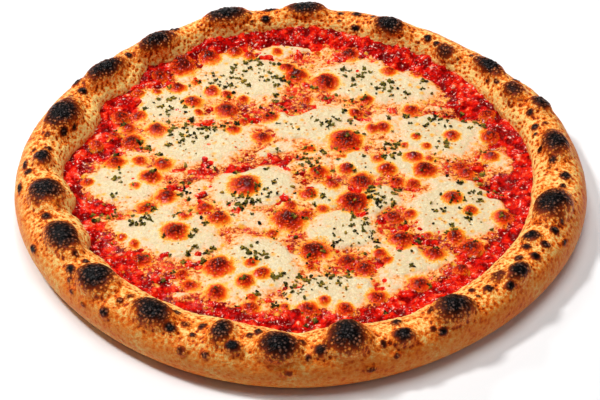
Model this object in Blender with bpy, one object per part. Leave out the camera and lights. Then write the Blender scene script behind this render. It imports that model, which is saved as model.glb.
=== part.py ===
"""Margherita pizza, whole and baked, with nothing under it.

A round wheat base with a raised, blistered rim, the layer of tomato sauce spread
inside the rim, and the pools of melted mozzarella that lie on the sauce.

Metres, +Z up. The origin is the middle of the flat underside.
Clock angles are in degrees, seen from above: 0 is +Y, 90 is +X, 180 is -Y.
"""

import math

import bmesh
import bpy
from mathutils import Matrix, Vector

# Dough
OUTER_DIAMETER = 0.320
RIM_WIDTH = 0.028
RIM_HEIGHT = 0.0230
RIM_OVERHANG = 0.0135
BASE_THICKNESS = 0.0055
RIM_INNER_RADIUS = OUTER_DIAMETER / 2 - RIM_WIDTH
RIM_HALF_HEIGHT = 0.012
RIM_MIDDLE = (OUTER_DIAMETER / 2 - RIM_OVERHANG, RIM_HEIGHT - RIM_HALF_HEIGHT)
# The rim's round section meets the flat underside at this angle below level, and this radius.
SOLE_ANGLE = -math.asin(RIM_MIDDLE[1] / RIM_HALF_HEIGHT)
SOLE_RADIUS = RIM_MIDDLE[0] + RIM_OVERHANG * math.cos(SOLE_ANGLE)

# The rim's outline wavers: waves round the edge, swing in metres, clock angle of a peak.
EDGE_WAVES = ((3, 0.0009, 108), (4, 0.0018, 2))
INNER_WAVES = (
    (1, 0.0050, 10), (2, 0.0014, 0), (3, 0.0009, 115), (4, 0.0010, 84), (8, 0.0007, 42), (9, 0.0006, 34),
)
CREST_WAVES = ((1, 0.0010, 180), (7, 0.0005, 20))

# Burnt blisters on the rim: clock angle, metres over the crest from the inner wall,
# length along the rim, width across it.
BLISTERS = (
    (1.5, 0.021, 0.025, 0.014), (23, 0.016, 0.022, 0.013), (40, 0.013, 0.017, 0.012),
    (52.5, 0.019, 0.026, 0.012), (64, 0.016, 0.019, 0.010), (71, 0.022, 0.015, 0.010),
    (85, 0.019, 0.025, 0.012), (107, 0.018, 0.030, 0.014), (130, 0.023, 0.016, 0.009),
    (147.5, 0.021, 0.023, 0.014), (170.5, 0.021, 0.022, 0.015), (184, 0.023, 0.021, 0.013),
    (195.5, 0.020, 0.013, 0.011), (210.5, 0.021, 0.023, 0.012), (226, 0.021, 0.024, 0.014),
    (241, 0.019, 0.029, 0.012), (257.5, 0.018, 0.024, 0.013), (285.5, 0.018, 0.035, 0.012),
    (305.5, 0.019, 0.034, 0.011), (322, 0.017, 0.029, 0.013), (342, 0.021, 0.027, 0.016),
)
# A blister of this size rises this far: a share more at the bottom of the clock and as much less at
# the top. Its foot lies this many half sizes from its middle.
BLISTER_SIZE = 0.020
BLISTER_RISE = 0.0060
BLISTER_SHARE = 0.25
BLISTER_REACH = 1.25

# Tomato sauce
SAUCE_TOP = 0.0074
GAP = 0.0003

# Mozzarella pools: middle x and y, half length, half width, degrees turned.
POOLS = (
    (-0.034, 0.099, 0.033, 0.021, -4),
    (-0.078, 0.068, 0.026, 0.018, 20),
    (-0.058, 0.031, 0.030, 0.020, 8),
    (-0.103, -0.004, 0.021, 0.019, -10),
    (0.047, 0.092, 0.039, 0.022, -14),
    (0.014, 0.049, 0.035, 0.018, -8),
    (0.084, 0.040, 0.029, 0.019, -6),
    (-0.075, -0.046, 0.031, 0.019, -18),
    (-0.024, -0.073, 0.023, 0.022, -30),
    (-0.025, -0.008, 0.024, 0.017, 10),
    (0.015, -0.016, 0.011, 0.008, 0),
    (0.048, 0.013, 0.029, 0.010, -5),
    (0.043, -0.019, 0.014, 0.010, 0),
    (0.024, -0.043, 0.022, 0.015, -5),
    (0.088, -0.026, 0.026, 0.026, 0),
    (0.064, -0.069, 0.024, 0.011, 22),
    (0.017, -0.094, 0.023, 0.014, 6),
    (-0.016, 0.024, 0.014, 0.007, 20),
    (0.113, 0.017, 0.009, 0.008, 20),
)
POOL_THICKNESS = 0.0032
POOL_LOBES = ((3, 0.03), (5, 0.02))
# A pool's section, as shares of its radius and of its thickness, underside first.
POOL_SECTION = ((0.0, 0.0), (0.95, 0.0), (1.0, 0.30), (0.82, 0.80), (0.45, 1.0), (0.0, 0.94))

# Fineness of the meshes
RIM_STEPS = 160
RIM_ARC_STEPS = 13
POOL_STEPS = 22
WELD = 0.00001

# Colours are linear RGBA.
CRUST_COLOUR = (0.62, 0.27, 0.07, 1.0)
SAUCE_COLOUR = (0.45, 0.02, 0.008, 1.0)
CHEESE_COLOUR = (0.86, 0.74, 0.50, 1.0)


def clear_scene():
    for thing in list(bpy.data.objects):
        bpy.data.objects.remove(thing, do_unlink=True)


def waver(waves, clock):
    """Sum of cosine waves round the pizza, at a clock angle in degrees."""
    return sum(swing * math.cos(math.radians(count * (clock - peak))) for count, swing, peak in waves)


def smooth_share(value, start, end):
    """0 before start, 1 after end, and an even S-curve between them."""
    share = min(1.0, max(0.0, (value - start) / (end - start)))
    return share * share * (3 - 2 * share)


def clock_of(point):
    return math.degrees(math.atan2(point.x, point.y)) % 360


def rim_angle(across):
    """Angle on the rim's section of a place some metres over the crest from the inner wall."""
    quarter = math.pi / 2 * math.sqrt(RIM_OVERHANG * RIM_HALF_HEIGHT)
    return math.pi - across / quarter * math.pi / 2


def rim_section():
    """The dough's half section: underside, outer wall, crest, inner wall, and top of the base."""
    middle_radius, middle_height = RIM_MIDDLE
    points = [(0.0, 0.0), (SOLE_RADIUS / 2, 0.0)]
    for step in range(RIM_ARC_STEPS + 1):
        angle = SOLE_ANGLE + (math.pi - SOLE_ANGLE) * step / RIM_ARC_STEPS
        reach = RIM_OVERHANG if angle < math.pi / 2 else middle_radius - RIM_INNER_RADIUS
        height = middle_height + RIM_HALF_HEIGHT * math.sin(angle)
        points.append((middle_radius + reach * math.cos(angle), max(0.0, height)))
    points.append((RIM_INNER_RADIUS, BASE_THICKNESS))
    points.append((RIM_INNER_RADIUS * 0.6, BASE_THICKNESS))
    points.append((0.0, BASE_THICKNESS))
    return points


def spun(section, steps):
    """A bmesh of a half section turned once round Z, closed at the axis."""
    form = bmesh.new()
    corners = [form.verts.new((radius, 0.0, height)) for radius, height in section]
    sides = [form.edges.new(pair) for pair in zip(corners, corners[1:])]
    bmesh.ops.spin(form, geom=corners + sides, cent=(0, 0, 0), axis=(0, 0, 1), angle=2 * math.pi, steps=steps)
    bmesh.ops.remove_doubles(form, verts=form.verts, dist=WELD)
    return form


def blister_rise(clock, angle):
    """How far the blisters lift the rim at a clock angle and an angle on its section."""
    rise = 0.0
    for middle, across, length, width in BLISTERS:
        along = math.radians((clock - middle + 180) % 360 - 180) * RIM_MIDDLE[0]
        over = (angle - rim_angle(across)) * math.sqrt(RIM_OVERHANG * RIM_HALF_HEIGHT)
        distance = math.hypot(along / (length / 2), over / (width / 2)) / BLISTER_REACH
        highest = BLISTER_RISE * math.sqrt(length * width) / BLISTER_SIZE
        highest *= 1 - BLISTER_SHARE * math.cos(math.radians(middle))
        rise = max(rise, highest * max(0.0, 1 - distance * distance))
    return rise


def edge_shift(radius, clock):
    """Radial wander of the dough: the outer edge and the inner wall each have their own waves."""
    outer = smooth_share(radius, RIM_INNER_RADIUS, SOLE_RADIUS)
    inner = smooth_share(radius, RIM_INNER_RADIUS * 0.8, RIM_INNER_RADIUS) * (1 - outer)
    return waver(EDGE_WAVES, clock) * outer + waver(INNER_WAVES, clock) * inner


def shape_rim(form):
    """Moves the turned dough's points so that the rim wavers, rises, sinks and blisters."""
    middle_radius, middle_height = RIM_MIDDLE
    for vert in form.verts:
        radius, height = math.hypot(vert.co.x, vert.co.y), vert.co.z
        if radius < RIM_INNER_RADIUS * 0.8:
            continue
        clock = clock_of(vert.co)
        angle = math.atan2(height - middle_height, radius - middle_radius)
        raised = smooth_share(height, BASE_THICKNESS, RIM_HEIGHT)
        swell = blister_rise(clock, angle) * smooth_share(height, BASE_THICKNESS, middle_height)
        new_radius = radius + edge_shift(radius, clock) + swell * math.cos(angle)
        new_height = height + waver(CREST_WAVES, clock) * raised + swell * math.sin(angle)
        vert.co *= new_radius / radius
        vert.co.z = new_height


def placed_object(name, form, colour, roughness):
    """Makes a named object from a bmesh, smooth-shaded, with its own material."""
    bmesh.ops.recalc_face_normals(form, faces=form.faces)
    mesh = bpy.data.meshes.new(name)
    form.to_mesh(mesh)
    form.free()
    mesh.shade_smooth()
    mesh.set_sharp_from_angle(angle=math.radians(50))
    material = bpy.data.materials.new(name)
    material.use_nodes = True
    shader = material.node_tree.nodes["Principled BSDF"]
    shader.inputs["Base Color"].default_value = colour
    shader.inputs["Roughness"].default_value = roughness
    shader.inputs["Metallic"].default_value = 0.0
    mesh.materials.append(material)
    thing = bpy.data.objects.new(name, mesh)
    bpy.context.scene.collection.objects.link(thing)
    return thing


def make_dough():
    form = spun(rim_section(), RIM_STEPS)
    shape_rim(form)
    return placed_object("dough", form, CRUST_COLOUR, 0.7)


def make_sauce():
    """The sauce layer: a level disc whose edge follows the waver of the rim's inner wall."""
    bottom = BASE_THICKNESS + GAP
    edge = RIM_INNER_RADIUS - GAP * 2
    form = spun(((0.0, bottom), (edge, bottom), (edge, SAUCE_TOP), (0.0, SAUCE_TOP)), RIM_STEPS)
    for vert in form.verts:
        radius = math.hypot(vert.co.x, vert.co.y)
        if radius > edge / 2:
            stretch = 1 + waver(INNER_WAVES, clock_of(vert.co)) / radius
            vert.co.x *= stretch
            vert.co.y *= stretch
    return placed_object("tomato_sauce", form, SAUCE_COLOUR, 0.35)


def make_pool(number, middle_x, middle_y, half_length, half_width, turn):
    """One pool of melted mozzarella: a thin low dome with an uneven oval outline."""
    form = spun(POOL_SECTION, POOL_STEPS)
    for vert in form.verts:
        share = math.hypot(vert.co.x, vert.co.y)
        around = math.atan2(vert.co.y, vert.co.x)
        lobes = sum(size * math.cos(count * around + number) for count, size in POOL_LOBES)
        reach = share * (1 + lobes)
        vert.co.x = half_length * reach * math.cos(around)
        vert.co.y = half_width * reach * math.sin(around)
        vert.co.z *= POOL_THICKNESS
    pool = placed_object(f"mozzarella_{number:02d}", form, CHEESE_COLOUR, 0.45)
    place = Matrix.Translation(Vector((middle_x, middle_y, SAUCE_TOP + GAP)))
    pool.matrix_world = place @ Matrix.Rotation(math.radians(turn), 4, "Z")
    return pool


def main():
    clear_scene()
    make_dough()
    make_sauce()
    for number, pool in enumerate(POOLS, start=1):
        make_pool(number, *pool)


main()
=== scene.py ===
"""Margherita pizza: the baked crust, sauce, melted mozzarella and dried herbs, on a plain stage.

Laid out as a Blender add-on and run as a script. Lengths are metres unless a name ends in _mm.
Clock angles are degrees seen from above: 0 is +Y, 90 is +X, 180 is -Y.
"""

import math

import bpy
import numpy as np
from bpy.props import FloatProperty, FloatVectorProperty, IntProperty, PointerProperty
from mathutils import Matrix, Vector


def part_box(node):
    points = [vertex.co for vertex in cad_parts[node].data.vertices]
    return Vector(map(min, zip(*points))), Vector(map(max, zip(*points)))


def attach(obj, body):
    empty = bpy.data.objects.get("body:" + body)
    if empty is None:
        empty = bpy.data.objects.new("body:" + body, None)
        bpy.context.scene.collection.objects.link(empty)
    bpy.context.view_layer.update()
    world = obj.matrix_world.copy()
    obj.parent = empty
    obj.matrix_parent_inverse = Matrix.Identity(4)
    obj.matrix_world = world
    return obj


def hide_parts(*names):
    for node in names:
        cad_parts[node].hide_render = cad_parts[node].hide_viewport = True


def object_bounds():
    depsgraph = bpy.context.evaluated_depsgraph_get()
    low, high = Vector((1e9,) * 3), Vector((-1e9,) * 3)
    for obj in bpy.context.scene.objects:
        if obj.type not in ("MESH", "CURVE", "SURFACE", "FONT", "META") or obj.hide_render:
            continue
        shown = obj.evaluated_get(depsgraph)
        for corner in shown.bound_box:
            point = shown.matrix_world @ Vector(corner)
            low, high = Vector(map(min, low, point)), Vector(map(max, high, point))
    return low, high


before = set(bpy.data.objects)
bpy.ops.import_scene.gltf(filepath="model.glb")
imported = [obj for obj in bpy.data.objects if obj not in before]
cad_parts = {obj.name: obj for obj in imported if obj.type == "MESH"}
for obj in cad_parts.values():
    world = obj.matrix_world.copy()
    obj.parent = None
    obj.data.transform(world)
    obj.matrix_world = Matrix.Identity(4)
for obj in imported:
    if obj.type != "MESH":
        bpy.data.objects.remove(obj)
cad_low, cad_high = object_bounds()

bl_info = {
    "name": "Margherita Pizza",
    "version": (1, 0, 0),
    "blender": (4, 5, 0),
    "location": "View3D > Sidebar > Pizza",
    "description": "Makes a baked margherita pizza, piece by piece, round its packed model",
    "category": "Add Mesh",
}

MM = 0.001
DOUGH_LOW, DOUGH_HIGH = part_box("dough")
SAUCE_DEPTH = 0.0022
SAUCE_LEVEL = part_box("tomato_sauce")[0].z + SAUCE_DEPTH
POOL_NODES = sorted(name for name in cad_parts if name.startswith("mozzarella"))

# The rim's section is round outside and a wider oval inside. Its outer edge and its crest waver:
# waves round the pizza, swing, clock angle of a peak.
EDGE_WAVES = ((3, 0.0009, 108), (4, 0.0018, 2))
CREST_WAVES = ((1, 0.0010, 180), (7, 0.0005, 20))
RIM_RADIUS = (DOUGH_HIGH.x - DOUGH_LOW.x) / 2 - EDGE_WAVES[1][1]
RIM_OVERHANG = 0.0135
RIM_HALF_HEIGHT = 0.012
RIM_CREST = 0.0230
BASE_TOP = 0.0055
RIM_MIDDLE = RIM_RADIUS - RIM_OVERHANG
RIM_MIDDLE_HEIGHT = RIM_CREST - RIM_HALF_HEIGHT
SOLE_ANGLE = -math.asin(RIM_MIDDLE_HEIGHT / RIM_HALF_HEIGHT)
ARC_PER_RADIAN = math.sqrt(RIM_OVERHANG * RIM_HALF_HEIGHT)

# A blister of this size stands out by its kind's rise, and its cap ends this many half sizes from
# its middle. Rises, heights and depths are metres.
BLISTER_SIZE_MM = 20
BLISTER_REACH = 1.25
BIG_BLISTER_RISE = 0.0060
SMALL_BLISTER_RISE = 0.0048
SWELL_HEIGHT = 0.0016
LUMP_HEIGHT = 0.0012
DIMPLE_DEPTH = 0.00065
CRACKLE_HEIGHT = 0.0009
# Bands over the rim, in metres from its inner wall: start, full and, if it ends, last full, end.
MOTTLED_BAND = (-0.002, 0.004, 0.024, 0.036)
LACE_BAND = (0.000, 0.003, 0.008, 0.013)
SHOULDER_BAND = (0.004, 0.014, 0.028, 0.038)
WAVERING_BAND = (0.008, 0.028)
OUTER_BAND = (0.022, 0.034)
# Between these heights the relief comes in, so that the sole stays flat.
RELIEF_START = (0.0, 0.006)
# Patterns of the crust: size in metres, seed and, for clouds of noise, octaves.
RAGGED_CLOUDS = (0.0060, 11, 2)
RAGGED_SPECKS = (0.0018, 12)
TOAST_CLOUDS = (0.013, 13, 3)
LUMP_CLOUDS = (0.022, 14, 2)
PORES = (0.0026, 15)
CRACKLE = (0.0024, 16)

# How far things stand out of the toppings, in metres, and how far the toppings' outlines drift.
PULP_HEIGHT = 0.0030
SAUCE_LUMP_HEIGHT = 0.0014
SAUCE_RING_HEIGHT = 0.0012
BANK_HEIGHT = 0.0016
TOP_BANK_HEIGHT = 0.0042
CHEESE_RIPPLE = 0.00018
CHEESE_CRACKLE = 0.0005
DRIFT = 0.0035
# Patterns of the toppings: size in metres, seed and, for clouds of noise, octaves.
DRIFT_X_CLOUDS = (0.011, 21, 2)
DRIFT_Y_CLOUDS = (0.011, 22, 2)
EDGE_CLOUDS = (0.007, 23, 2)
FILM_CLOUDS = (0.008, 24, 3)
WOBBLE_CLOUDS = (0.0035, 25, 2)
BIG_GRAINS = (0.0052, 26)
SMALL_GRAINS = (0.0026, 27)
RIPPLE_CLOUDS = (0.0045, 28, 2)
BROWNED_GRAINS = (0.0020, 29)
SAUCE_CLOUDS = (0.009, 30, 2)
# The cheese's upper side above the sauce, in metres, for each richness.
RICHNESS = (0, 0.16, 0.4, 0.8, 1.0)
CHEESE_RISE = (-0.0022, 0.0, 0.0007, 0.0016, 0.0020)
# The least richness well inside the cheese's edge and round a bubble, and a bubble's height as a
# share of its radius.
FILM_RICHNESS = 0.26
BUBBLE_RICHNESS = 0.30
BUBBLE_STEEPNESS = 0.75

# Blisters on the rim, in degrees and millimetres: clock angle, distance over the crest from
# the inner wall, length along the rim, width across it, how burnt from 0 to 1.
BIG_BLISTERS_MM = (
    (1.5, 21, 25, 14, 0.9), (23, 16, 22, 13, 1), (40, 13, 17, 12, 0.6), (52.5, 19, 26, 12, 1),
    (64, 16, 19, 10, 0.7), (71, 22, 15, 10, 0.9), (85, 19, 25, 12, 1), (107, 18, 30, 14, 1),
    (130, 23, 16, 9, 1), (147.5, 21, 23, 14, 1), (160, 25, 12, 8, 1), (170.5, 21, 22, 15, 1),
    (184, 23, 21, 13, 0.95), (192.5, 25, 9, 6, 1), (195.5, 20, 13, 11, 0.85), (210.5, 21, 23, 12, 1),
    (226, 21, 24, 14, 1), (241, 19, 29, 12, 1), (257.5, 18, 24, 13, 1), (270, 18, 13, 9, 1),
    (285.5, 18, 35, 12, 1), (305.5, 19, 34, 11, 1), (322, 17, 29, 13, 0.95), (342, 21, 27, 16, 1),
)
SMALL_BLISTERS_MM = (
    (10, 13, 4, 3, 0.5), (10, 21, 5, 5, 0.8), (14, 22, 7, 6, 0.9), (14.5, 9, 7, 6, 1), (18, 22, 4, 5, 0.7),
    (31.5, 10, 3, 3, 0.5), (33.5, 17, 6, 9, 1), (36.5, 15, 6, 7, 0.9), (44, 12, 3, 3, 0.6),
    (46.5, 20, 5, 5, 0.6), (55, 11, 4, 4, 0.6), (57.5, 14, 5, 4, 0.7), (60, 24, 5, 6, 0.8),
    (66, 10, 4, 3, 0.5), (72.5, 15, 6, 5, 0.8), (77, 13, 6, 6, 1), (77, 19, 4, 4, 0.6),
    (79, 11, 3, 4, 0.8), (85, 11, 6, 5, 1), (90.5, 16, 7, 4, 0.8), (92.5, 14, 3, 3, 0.5),
    (95.5, 21, 9, 6, 1), (99, 20, 6, 3, 0.9), (111.5, 24, 4, 3, 0.7), (114.5, 23, 6, 5, 1),
    (115.5, 30, 7, 3, 0.8), (118.5, 16, 11, 8, 0.9), (119.5, 23, 6, 6, 0.9), (122, 17, 6, 5, 0.8),
    (123.5, 23, 6, 6, 0.9), (126, 18, 6, 4, 0.8), (133.5, 18, 11, 7, 0.5), (134, 26, 6, 5, 0.9),
    (137.5, 20, 6, 6, 0.8), (140, 15, 5, 4, 0.7), (140.5, 20, 3, 4, 0.6), (152, 18, 4, 4, 0.6),
    (152, 29, 6, 5, 0.95), (153.5, 26, 4, 4, 0.6), (159.5, 16, 7, 5, 0.8), (162, 33, 5, 4, 0.55),
    (164, 26, 4, 5, 0.7), (167, 37, 6, 4, 0.5), (176, 25, 8, 7, 0.75), (178.5, 28, 4, 4, 0.7),
    (179.5, 20, 5, 4, 0.6), (182, 35, 8, 4, 0.35), (188.5, 16, 5, 4, 0.9), (190, 18, 5, 3, 0.6),
    (197.5, 31, 5, 4, 0.7), (200, 18, 5, 4, 0.9), (201, 23, 4, 3, 0.8), (202, 32, 6, 5, 0.5),
    (203.5, 19, 6, 3, 0.5), (205.5, 24, 8, 5, 1), (207, 15, 6, 5, 0.9), (217, 19, 6, 4, 0.45),
    (218, 23, 5, 4, 0.6), (219.5, 31, 7, 6, 0.85), (225, 34, 5, 3, 0.4), (229, 33, 5, 3, 0.6),
    (231, 29, 5, 4, 0.6), (232.5, 17, 5, 3, 0.9), (232.5, 25, 9, 5, 0.95), (235, 19, 5, 3, 0.7),
    (244, 33, 7, 5, 0.9), (250, 20, 8, 4, 0.9), (252.5, 14, 7, 3, 0.3), (262.5, 30, 9, 4, 0.9),
    (266.5, 25, 6, 6, 0.8), (269, 27, 9, 4, 0.8), (273.5, 24, 5, 3, 0.6), (274, 16, 5, 6, 0.7),
    (278, 19, 5, 4, 0.6), (280.5, 13, 7, 5, 1), (283.5, 11, 6, 3, 0.9), (293, 21, 5, 4, 0.6),
    (296.5, 18, 7, 6, 1), (299.5, 27, 9, 6, 0.8), (309.5, 17, 5, 4, 0.6), (314, 19, 5, 7, 0.8),
    (328.5, 23, 9, 6, 0.9), (348, 13, 4, 3, 0.5), (348, 20, 3, 3, 0.5), (351.5, 14, 7, 8, 1),
    (353, 24, 10, 5, 0.9),
)

# What the crust's points carry beside their places: how far each change has gone, from 0 to 1.
CRUST_LOOKS = ("char", "toast_and_side_shade", "pit", "mottled", "tan")

# Where the rim's inner wall stands: clock angle, millimetres from the middle.
INNER_WALL_MM = (
    (0, 141), (8, 140), (15, 138), (20, 136), (27, 137), (33, 138), (40, 135), (50, 135), (58, 133),
    (66, 132), (74, 134), (82, 134), (90, 133), (97, 131), (105, 131), (115, 131), (122, 130), (130, 129),
    (137, 128), (145, 128), (150, 128), (155, 130), (161, 129), (168, 129), (175, 128), (181, 130),
    (189, 128), (197, 126), (204, 128), (211, 127), (218, 129), (226, 129), (233, 128), (240, 131),
    (245, 126), (250, 127), (254, 131), (260, 127), (264, 130), (268, 134), (274, 135), (279, 133),
    (283, 129), (288, 127), (293, 128), (298, 134), (302, 134), (306, 130), (311, 130), (315, 134),
    (318, 138), (321, 137), (324, 134), (328, 134), (332, 138), (336, 140), (343, 139), (350, 140),
)

# Where the cheese ends: clock angle, millimetres from the middle.
CHEESE_EDGE_MM = (
    (0, 126), (8, 128), (14, 127), (18, 124), (24, 121), (30, 120), (40, 120), (46, 117), (50, 114),
    (55, 112), (60, 116), (65, 119), (70, 117), (75, 115), (80, 122), (86, 120), (91, 112), (97, 112),
    (101, 116), (104, 121), (112, 120), (118, 118), (123, 113), (128, 112), (134, 110), (140, 108),
    (146, 108), (152, 107), (158, 108), (164, 110), (170, 110), (177, 108), (185, 107), (191, 109),
    (199, 110), (209, 115), (216, 116), (222, 114), (230, 116), (235, 117), (240, 113), (246, 116),
    (252, 117), (258, 114), (263, 119), (268, 121), (274, 120), (281, 114), (287, 113), (293, 114),
    (300, 111), (305, 116), (309, 123), (316, 122), (322, 125), (328, 129), (335, 129), (341, 130),
    (346, 130), (351, 127), (355, 126),
)
# Thick pools of cheese, in millimetres: middle x and y, half length, half width, degrees turned.
POOLS_MM = (
    (-34, 99, 35, 23, -4), (-78, 68, 28, 20, 20), (-58, 31, 33, 22, 8), (-103, -4, 23, 21, -10),
    (47, 92, 42, 24, -14), (14, 49, 38, 19, -8), (84, 40, 32, 21, -6), (-75, -46, 35, 21, -18),
    (-24, -73, 26, 25, -30), (-25, -8, 27, 19, 10), (15, -16, 14, 10, 0), (48, 13, 30, 10, -5),
    (43, -19, 17, 12, 0), (24, -43, 25, 17, -5), (88, -26, 28, 28, 0), (64, -69, 27, 12, 22),
    (17, -94, 26, 16, 6), (-14, 26, 16, 8, 20), (113, 17, 11, 9, 20), (-12, 124, 22, 7, 3),
)
# Streaks where the sauce shows between them: from x, y to x, y, half width, strength.
STREAKS_MM = (
    (-36, 61, -18, 62, 9, 1.0), (-18, 63, -4, 72, 8, 0.9), (-3, 62, 2, 86, 7, 0.8),
    (-70, -3, -42, 8, 6, 0.9), (-42, 8, -24, 14, 5, 0.7), (-16, 20, 2, 19, 4, 0.6),
    (-122, -22, -108, -31, 6, 1.0), (-108, -31, -92, -31, 4, 0.8), (-92, -30, -82, -22, 3, 0.6),
    (-120, 70, -104, 72, 7, 0.9), (-104, 66, -112, 56, 7, 0.9), (-126, 24, -108, 24, 6, 0.7),
    (-104, 36, -90, 28, 6, 0.8), (86, 60, 112, 64, 7, 1.0), (64, 61, 80, 63, 3, 0.8),
    (-24, 42, -16, 42, 4, 0.9), (10, -3, 28, -2, 3, 0.8), (28, -4, 42, -2, 5, 0.8),
    (-10, -30, 8, -30, 5, 0.5), (20, -25, 34, -27, 3, 0.7), (50, -30, 56, -44, 6, 0.9),
    (-33, -46, -15, -47, 3, 0.9), (-98, -66, -84, -74, 6, 0.9), (-78, -76, -60, -70, 4, 0.6),
    (-76, -84, -60, -90, 5, 0.8), (24, -68, 38, -76, 5, 0.8), (66, -52, 72, -62, 5, 0.8),
    (80, -60, 96, -56, 6, 0.9), (92, -66, 104, -62, 6, 1.0), (90, 12, 98, 4, 6, 0.8),
    (108, -4, 120, -22, 9, 1.0), (-4, -58, 8, -66, 5, 0.6), (-56, -27, -46, -30, 5, 0.6),
)
# Warm patches, where the cheese has thinned to an orange film: middle x and y, half length, half
# width, degrees turned, strength.
WARM_MM = (
    (36, 46, 14, 14, 0, 0.5), (27, 77, 20, 6, -15, 0.6), (40, 28, 18, 8, 0, 0.5), (80, 60, 16, 5, 10, 0.6),
    (-60, 8, 18, 6, 5, 0.6), (-22, 15, 20, 7, 15, 0.6), (-54, 50, 20, 7, 5, 0.5),
    (-98, 38, 15, 14, 0, 0.6), (-107, -42, 14, 9, -20, 0.5), (-72, -74, 22, 10, -15, 0.7),
    (-50, -29, 12, 10, 0, 0.5), (0, -33, 17, 10, 0, 0.5), (-4, 78, 11, 18, 0, 0.7),
    (8, -61, 14, 8, -10, 0.5), (35, -71, 18, 9, -20, 0.5), (84, -57, 20, 9, -10, 0.7),
    (52, -36, 12, 13, 0, 0.6), (32, -2, 30, 8, 0, 0.5), (95, 8, 13, 9, 0, 0.6), (-4, 30, 14, 7, 0, 0.4),
    (-95, 82, 16, 8, -40, 0.4), (64, -5, 12, 6, 0, 0.4), (-44, 64, 14, 9, 0, 0.5), (5, 118, 30, 6, 0, 0.4),
    (-60, 100, 14, 12, 0, 0.35), (104, 26, 8, 14, 0, 0.4),
)
# Browned bubbles of the cheese, in millimetres: x, y, radius, which the bubble reach scales.
BUBBLES_MM = (
    (-72, 106, 7), (-56, 116, 6), (-40, 121, 4.5), (-31, 118, 3.5), (-14, 122, 3), (-7, 106, 4.5),
    (-2, 98, 6), (-85, 95, 5), (-74, 85, 4.5), (-63, 91, 2.5), (-53, 82, 4), (-44, 79, 3), (-34, 74, 3),
    (-64, 71, 4.5), (-44, 64, 6), (-97, 77, 3.5), (-86, 80, 2.5), (-96, 58, 4), (-106, 56, 5),
    (-101, 46, 4), (-84, 45, 5), (-108, 38, 3.5), (-98, 34, 5.5), (-118, 29, 4), (-106, 14, 5),
    (-92, 16, 3.5), (-79, 13, 4.5), (-85, 1, 5), (-39, 45, 3.5), (-22, 38, 4.5), (-18, 57, 4.5),
    (-33, 53, 3), (-60, 61, 2.5), (31, 120, 5.5), (11, 121, 2), (16, 91, 6.5), (55, 102, 4), (72, 98, 2.5),
    (40, 74, 3.5), (34, 60, 4), (67, 64, 4), (4, 74, 3), (43, 46, 3.5), (49, 47, 4), (27, 34, 7.5),
    (6, 27, 3), (68, 37, 2.5), (89, 38, 4), (74, 29, 2.5), (61, 30, 2), (66, 19, 4.5), (45, 17, 3),
    (25, 20, 2), (11, 6, 4.5), (27, 8, 4), (50, 8, 4.5), (72, 7, 5.5), (92, 11, 4), (95, 5, 4.5),
    (102, 12, 3), (110, 19, 4.5), (112, 38, 5), (111, 57, 4), (75, 18, 2.5), (-120, -5, 3), (-93, -7, 2.5),
    (-31, -7, 7), (-75, -16, 5), (-85, -26, 4.5), (-53, -25, 4), (-45, -34, 5), (-64, -33, 3),
    (-68, -47, 6), (-6, -35, 7.5), (3, -31, 4), (-5, -23, 3), (-15, -47, 3), (-97, -51, 2.5),
    (-90, -56, 2.5), (-86, -69, 5), (-44, -74, 6.5), (-20, -80, 4), (-26, -72, 3), (-29, -86, 4.5),
    (-58, -89, 4), (-63, -80, 3.5), (-44, -95, 5), (-26, -106, 4), (-8, -105, 2.5), (-25, -98, 2.5),
    (5, -14, 4), (18, -5, 4), (35, -3, 6), (55, -3, 4), (64, -5, 3.5), (30, -21, 7), (13, -27, 3),
    (86, -18, 4.5), (95, -29, 3.5), (52, -33, 5), (61, -31, 3.5), (56, -52, 6), (70, -49, 2.5),
    (113, -35, 5), (85, -50, 4.5), (93, -59, 6), (73, -64, 5), (8, -61, 6.5), (26, -70, 5), (35, -75, 5),
    (44, -64, 3.5), (47, -69, 3), (6, -74, 2.5), (64, -88, 5), (41, -98, 4.5), (13, -101, 3), (5, -108, 5),
    (24, -108, 4), (87, -77, 4),
)
BUBBLE_REACH = 1.1

# Clusters of herbs, in millimetres: x, y, spread, crumbs.
HERB_CLUSTERS_MM = (
    (-40, 95, 13, 44), (-25, 100, 10, 26), (-65, 36, 12, 46), (-78, 70, 11, 18), (-75, 53, 7, 16),
    (-50, 50, 7, 12), (55, 83, 9, 26), (31, 71, 3, 12), (15, 50, 8, 16), (10, 19, 9, 34), (53, 25, 5, 22),
    (80, 52, 7, 14), (84, 30, 4, 12), (-63, -12, 9, 20), (-34, -24, 4, 20), (-20, -15, 7, 18),
    (-86, -35, 7, 18), (-110, -30, 6, 10), (-105, 0, 5, 10), (50, -15, 9, 24), (42, -26, 4, 14),
    (32, -50, 9, 34), (37, -38, 4, 12), (-25, -63, 8, 22), (8, -84, 5, 20), (20, -83, 4, 20),
    (-3, -88, 5, 14), (107, -13, 5, 10), (94, -14, 4, 10), (40, 102, 14, 20), (95, 60, 10, 8),
    (-10, 90, 12, 14), (70, -70, 12, 12), (-60, -60, 12, 12), (90, -30, 16, 16), (-100, 60, 14, 8),
)
# This share of a cluster's crumbs is laid, each a flake, at this share of its spread.
FLAKE_SHARE = 0.46
CLUSTER_TIGHTNESS = 0.65
# Flakes are pushed this share of their length apart, in so many rounds.
FLAKE_SPACING = 0.82
SPACING_ROUNDS = 6
# How far from the middle strays are strewn, and how far out any flake may lie.
STRAY_REACH = 0.118
HERB_REACH = 0.124
# This share of the flakes are single crumbs; the others have a few leaflets.
SINGLE_SHARE = 0.42
FEWEST_LEAFLETS, MOST_LEAFLETS = 5, 9
# A crumb's mesh, its half thickness and roughness as shares of its radius, and its tilt in radians.
CRUMB_RINGS, CRUMB_SIDES = 2, 6
CRUMB_HALF_THICKNESS = 0.3
CRUMB_TILT = 0.40
CRUMB_ROUGHNESS = 0.20

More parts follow.
